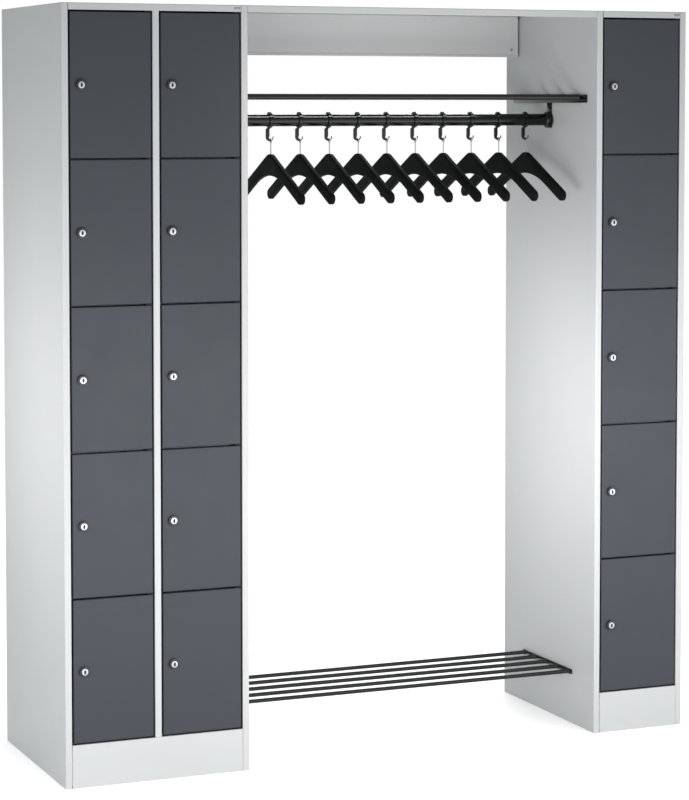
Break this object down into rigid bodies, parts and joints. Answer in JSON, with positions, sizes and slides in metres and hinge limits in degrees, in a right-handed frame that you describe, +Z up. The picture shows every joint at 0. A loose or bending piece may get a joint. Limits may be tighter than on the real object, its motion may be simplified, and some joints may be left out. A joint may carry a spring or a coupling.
{
  "type": "metal locker",
  "caption": "Free-standing sheet-steel cloakroom unit: lockers with hinged, cam-locked doors flank an open coat bay with hat shelf, hanging rail, hangers and shoe rack.",
  "frame": {"origin": "centre of the footprint's bounding box, on the floor", "axes": "+X to the viewer's right along the front, +Y from the doors to the back, +Z up"},
  "size_m": [1.62, 0.509, 1.8],
  "materials": {
    "carcass_paint": "light grey powder coat, fine texture",
    "door_paint": "anthracite grey powder coat, satin",
    "fitting_paint": "black enamel, satin",
    "lock_chrome": "polished, lightly brushed face",
    "hanger_plastic": "black, satin",
    "pivot_steel": "zinc plated"
  },
  "bodies": {
    "carcass": {"upright_panels": "carcass_paint", "back_panels": "carcass_paint", "locker_tops": "carcass_paint", "plinths": "carcass_paint", "compartment_shelves": "carcass_paint", "door_pivots": "pivot_steel", "bay_canopy": "carcass_paint", "hat_shelf": "fitting_paint", "coat_rail": "fitting_paint", "shoe_rack": "fitting_paint"},
    "door_a1": {"door_a1": "door_paint"},
    "lock_a1": {"lock_a1": "lock_chrome"},
    "door_a2": {"door_a2": "door_paint"},
    "lock_a2": {"lock_a2": "lock_chrome"},
    "door_a3": {"door_a3": "door_paint"},
    "lock_a3": {"lock_a3": "lock_chrome"},
    "door_a4": {"door_a4": "door_paint"},
    "lock_a4": {"lock_a4": "lock_chrome"},
    "door_a5": {"door_a5": "door_paint"},
    "lock_a5": {"lock_a5": "lock_chrome"},
    "door_b1": {"door_b1": "door_paint"},
    "lock_b1": {"lock_b1": "lock_chrome"},
    "door_b2": {"door_b2": "door_paint"},
    "lock_b2": {"lock_b2": "lock_chrome"},
    "door_b3": {"door_b3": "door_paint"},
    "lock_b3": {"lock_b3": "lock_chrome"},
    "door_b4": {"door_b4": "door_paint"},
    "lock_b4": {"lock_b4": "lock_chrome"},
    "door_b5": {"door_b5": "door_paint"},
    "lock_b5": {"lock_b5": "lock_chrome"},
    "door_c1": {"door_c1": "door_paint"},
    "lock_c1": {"lock_c1": "lock_chrome"},
    "door_c2": {"door_c2": "door_paint"},
    "lock_c2": {"lock_c2": "lock_chrome"},
    "door_c3": {"door_c3": "door_paint"},
    "lock_c3": {"lock_c3": "lock_chrome"},
    "door_c4": {"door_c4": "door_paint"},
    "lock_c4": {"lock_c4": "lock_chrome"},
    "door_c5": {"door_c5": "door_paint"},
    "lock_c5": {"lock_c5": "lock_chrome"},
    "rail_hook_01": {"rail_hook_01": "fitting_paint"},
    "hanger_01": {"hanger_01": "hanger_plastic"},
    "rail_hook_02": {"rail_hook_02": "fitting_paint"},
    "hanger_02": {"hanger_02": "hanger_plastic"},
    "rail_hook_03": {"rail_hook_03": "fitting_paint"},
    "hanger_03": {"hanger_03": "hanger_plastic"},
    "rail_hook_04": {"rail_hook_04": "fitting_paint"},
    "hanger_04": {"hanger_04": "hanger_plastic"},
    "rail_hook_05": {"rail_hook_05": "fitting_paint"},
    "hanger_05": {"hanger_05": "hanger_plastic"},
    "rail_hook_06": {"rail_hook_06": "fitting_paint"},
    "hanger_06": {"hanger_06": "hanger_plastic"},
    "rail_hook_07": {"rail_hook_07": "fitting_paint"},
    "hanger_07": {"hanger_07": "hanger_plastic"},
    "rail_hook_08": {"rail_hook_08": "fitting_paint"},
    "hanger_08": {"hanger_08": "hanger_plastic"},
    "rail_hook_09": {"rail_hook_09": "fitting_paint"},
    "hanger_09": {"hanger_09": "hanger_plastic"},
    "rail_hook_10": {"rail_hook_10": "fitting_paint"},
    "hanger_10": {"hanger_10": "hanger_plastic"}
  },
  "joints": [
    {"name": "door_a1_hinge", "type": "hinge", "parent": "carcass", "child": "door_a1", "pos_m": [-0.605, -0.2385, 1.448], "axis": [0, 0, 1], "range_deg": [0, 110]},
    {"name": "lock_a1_turn", "type": "hinge", "parent": "door_a1", "child": "lock_a1", "pos_m": [-0.765, -0.2455, 1.614], "axis": [0, 1, 0], "range_deg": [0, 90]},
    {"name": "rail_hook_01_slide", "type": "slide", "parent": "carcass", "child": "rail_hook_01", "axis": [1, 0, 0], "range_m": [-0.025, 0.025]},
    {"name": "hanger_01_swing", "type": "hinge", "parent": "rail_hook_01", "child": "hanger_01", "pos_m": [-0.2058, 0.0045, 1.48163], "axis": [1, 0, 0], "range_deg": [-25, 25]},
    {"name": "door_a2_hinge", "type": "hinge", "parent": "carcass", "child": "door_a2", "pos_m": [-0.605, -0.2385, 1.112], "axis": [0, 0, 1], "range_deg": [0, 110]},
    {"name": "lock_a2_turn", "type": "hinge", "parent": "door_a2", "child": "lock_a2", "pos_m": [-0.765, -0.2455, 1.278], "axis": [0, 1, 0], "range_deg": [0, 90]},
    {"name": "rail_hook_02_slide", "type": "slide", "parent": "carcass", "child": "rail_hook_02", "axis": [1, 0, 0], "range_m": [-0.025, 0.025]},
    {"name": "hanger_02_swing", "type": "hinge", "parent": "rail_hook_02", "child": "hanger_02", "pos_m": [-0.12836, 0.0045, 1.48163], "axis": [1, 0, 0], "range_deg": [-25, 25]},
    {"name": "door_a3_hinge", "type": "hinge", "parent": "carcass", "child": "door_a3", "pos_m": [-0.605, -0.2385, 0.776], "axis": [0, 0, 1], "range_deg": [0, 110]},
    {"name": "lock_a3_turn", "type": "hinge", "parent": "door_a3", "child": "lock_a3", "pos_m": [-0.765, -0.2455, 0.942], "axis": [0, 1, 0], "range_deg": [0, 90]},
    {"name": "rail_hook_03_slide", "type": "slide", "parent": "carcass", "child": "rail_hook_03", "axis": [1, 0, 0], "range_m": [-0.025, 0.025]},
    {"name": "hanger_03_swing", "type": "hinge", "parent": "rail_hook_03", "child": "hanger_03", "pos_m": [-0.05091, 0.0045, 1.48163], "axis": [1, 0, 0], "range_deg": [-25, 25]},
    {"name": "door_a4_hinge", "type": "hinge", "parent": "carcass", "child": "door_a4", "pos_m": [-0.605, -0.2385, 0.44], "axis": [0, 0, 1], "range_deg": [0, 110]},
    {"name": "lock_a4_turn", "type": "hinge", "parent": "door_a4", "child": "lock_a4", "pos_m": [-0.765, -0.2455, 0.606], "axis": [0, 1, 0], "range_deg": [0, 90]},
    {"name": "rail_hook_04_slide", "type": "slide", "parent": "carcass", "child": "rail_hook_04", "axis": [1, 0, 0], "range_m": [-0.025, 0.025]},
    {"name": "hanger_04_swing", "type": "hinge", "parent": "rail_hook_04", "child": "hanger_04", "pos_m": [0.02653, 0.0045, 1.48163], "axis": [1, 0, 0], "range_deg": [-25, 25]},
    {"name": "door_a5_hinge", "type": "hinge", "parent": "carcass", "child": "door_a5", "pos_m": [-0.605, -0.2385, 0.104], "axis": [0, 0, 1], "range_deg": [0, 110]},
    {"name": "lock_a5_turn", "type": "hinge", "parent": "door_a5", "child": "lock_a5", "pos_m": [-0.765, -0.2455, 0.27], "axis": [0, 1, 0], "range_deg": [0, 90]},
    {"name": "rail_hook_05_slide", "type": "slide", "parent": "carcass", "child": "rail_hook_05", "axis": [1, 0, 0], "range_m": [-0.025, 0.025]},
    {"name": "hanger_05_swing", "type": "hinge", "parent": "rail_hook_05", "child": "hanger_05", "pos_m": [0.10398, 0.0045, 1.48163], "axis": [1, 0, 0], "range_deg": [-25, 25]},
    {"name": "door_b1_hinge", "type": "hinge", "parent": "carcass", "child": "door_b1", "pos_m": [-0.388, -0.2385, 1.448], "axis": [0, 0, 1], "range_deg": [0, 110]},
    {"name": "lock_b1_turn", "type": "hinge", "parent": "door_b1", "child": "lock_b1", "pos_m": [-0.548, -0.2455, 1.614], "axis": [0, 1, 0], "range_deg": [0, 90]},
    {"name": "rail_hook_06_slide", "type": "slide", "parent": "carcass", "child": "rail_hook_06", "axis": [1, 0, 0], "range_m": [-0.025, 0.025]},
    {"name": "hanger_06_swing", "type": "hinge", "parent": "rail_hook_06", "child": "hanger_06", "pos_m": [0.18142, 0.0045, 1.48163], "axis": [1, 0, 0], "range_deg": [-25, 25]},
    {"name": "door_b2_hinge", "type": "hinge", "parent": "carcass", "child": "door_b2", "pos_m": [-0.388, -0.2385, 1.112], "axis": [0, 0, 1], "range_deg": [0, 110]},
    {"name": "lock_b2_turn", "type": "hinge", "parent": "door_b2", "child": "lock_b2", "pos_m": [-0.548, -0.2455, 1.278], "axis": [0, 1, 0], "range_deg": [0, 90]},
    {"name": "rail_hook_07_slide", "type": "slide", "parent": "carcass", "child": "rail_hook_07", "axis": [1, 0, 0], "range_m": [-0.025, 0.025]},
    {"name": "hanger_07_swing", "type": "hinge", "parent": "rail_hook_07", "child": "hanger_07", "pos_m": [0.25887, 0.0045, 1.48163], "axis": [1, 0, 0], "range_deg": [-25, 25]},
    {"name": "door_b3_hinge", "type": "hinge", "parent": "carcass", "child": "door_b3", "pos_m": [-0.388, -0.2385, 0.776], "axis": [0, 0, 1], "range_deg": [0, 110]},
    {"name": "lock_b3_turn", "type": "hinge", "parent": "door_b3", "child": "lock_b3", "pos_m": [-0.548, -0.2455, 0.942], "axis": [0, 1, 0], "range_deg": [0, 90]},
    {"name": "rail_hook_08_slide", "type": "slide", "parent": "carcass", "child": "rail_hook_08", "axis": [1, 0, 0], "range_m": [-0.025, 0.025]},
    {"name": "hanger_08_swing", "type": "hinge", "parent": "rail_hook_08", "child": "hanger_08", "pos_m": [0.33631, 0.0045, 1.48163], "axis": [1, 0, 0], "range_deg": [-25, 25]},
    {"name": "door_b4_hinge", "type": "hinge", "parent": "carcass", "child": "door_b4", "pos_m": [-0.388, -0.2385, 0.44], "axis": [0, 0, 1], "range_deg": [0, 110]},
    {"name": "lock_b4_turn", "type": "hinge", "parent": "door_b4", "child": "lock_b4", "pos_m": [-0.548, -0.2455, 0.606], "axis": [0, 1, 0], "range_deg": [0, 90]},
    {"name": "rail_hook_09_slide", "type": "slide", "parent": "carcass", "child": "rail_hook_09", "axis": [1, 0, 0], "range_m": [-0.025, 0.025]},
    {"name": "hanger_09_swing", "type": "hinge", "parent": "rail_hook_09", "child": "hanger_09", "pos_m": [0.41376, 0.0045, 1.48163], "axis": [1, 0, 0], "range_deg": [-25, 25]},
    {"name": "door_b5_hinge", "type": "hinge", "parent": "carcass", "child": "door_b5", "pos_m": [-0.388, -0.2385, 0.104], "axis": [0, 0, 1], "range_deg": [0, 110]},
    {"name": "lock_b5_turn", "type": "hinge", "parent": "door_b5", "child": "lock_b5", "pos_m": [-0.548, -0.2455, 0.27], "axis": [0, 1, 0], "range_deg": [0, 90]},
    {"name": "rail_hook_10_slide", "type": "slide", "parent": "carcass", "child": "rail_hook_10", "axis": [1, 0, 0], "range_m": [-0.025, 0.025]},
    {"name": "hanger_10_swing", "type": "hinge", "parent": "rail_hook_10", "child": "hanger_10", "pos_m": [0.4912, 0.0045, 1.48163], "axis": [1, 0, 0], "range_deg": [-25, 25]},
    {"name": "door_c1_hinge", "type": "hinge", "parent": "carcass", "child": "door_c1", "pos_m": [0.782, -0.2385, 1.448], "axis": [0, 0, 1], "range_deg": [0, 110]},
    {"name": "lock_c1_turn", "type": "hinge", "parent": "door_c1", "child": "lock_c1", "pos_m": [0.605, -0.2455, 1.614], "axis": [0, 1, 0], "range_deg": [0, 90]},
    {"name": "door_c2_hinge", "type": "hinge", "parent": "carcass", "child": "door_c2", "pos_m": [0.782, -0.2385, 1.112], "axis": [0, 0, 1], "range_deg": [0, 110]},
    {"name": "lock_c2_turn", "type": "hinge", "parent": "door_c2", "child": "lock_c2", "pos_m": [0.605, -0.2455, 1.278], "axis": [0, 1, 0], "range_deg": [0, 90]},
    {"name": "door_c3_hinge", "type": "hinge", "parent": "carcass", "child": "door_c3", "pos_m": [0.782, -0.2385, 0.776], "axis": [0, 0, 1], "range_deg": [0, 110]},
    {"name": "lock_c3_turn", "type": "hinge", "parent": "door_c3", "child": "lock_c3", "pos_m": [0.605, -0.2455, 0.942], "axis": [0, 1, 0], "range_deg": [0, 90]},
    {"name": "door_c4_hinge", "type": "hinge", "parent": "carcass", "child": "door_c4", "pos_m": [0.782, -0.2385, 0.44], "axis": [0, 0, 1], "range_deg": [0, 110]},
    {"name": "lock_c4_turn", "type": "hinge", "parent": "door_c4", "child": "lock_c4", "pos_m": [0.605, -0.2455, 0.606], "axis": [0, 1, 0], "range_deg": [0, 90]},
    {"name": "door_c5_hinge", "type": "hinge", "parent": "carcass", "child": "door_c5", "pos_m": [0.782, -0.2385, 0.104], "axis": [0, 0, 1], "range_deg": [0, 110]},
    {"name": "lock_c5_turn", "type": "hinge", "parent": "door_c5", "child": "lock_c5", "pos_m": [0.605, -0.2455, 0.27], "axis": [0, 1, 0], "range_deg": [0, 90]}
  ]
}
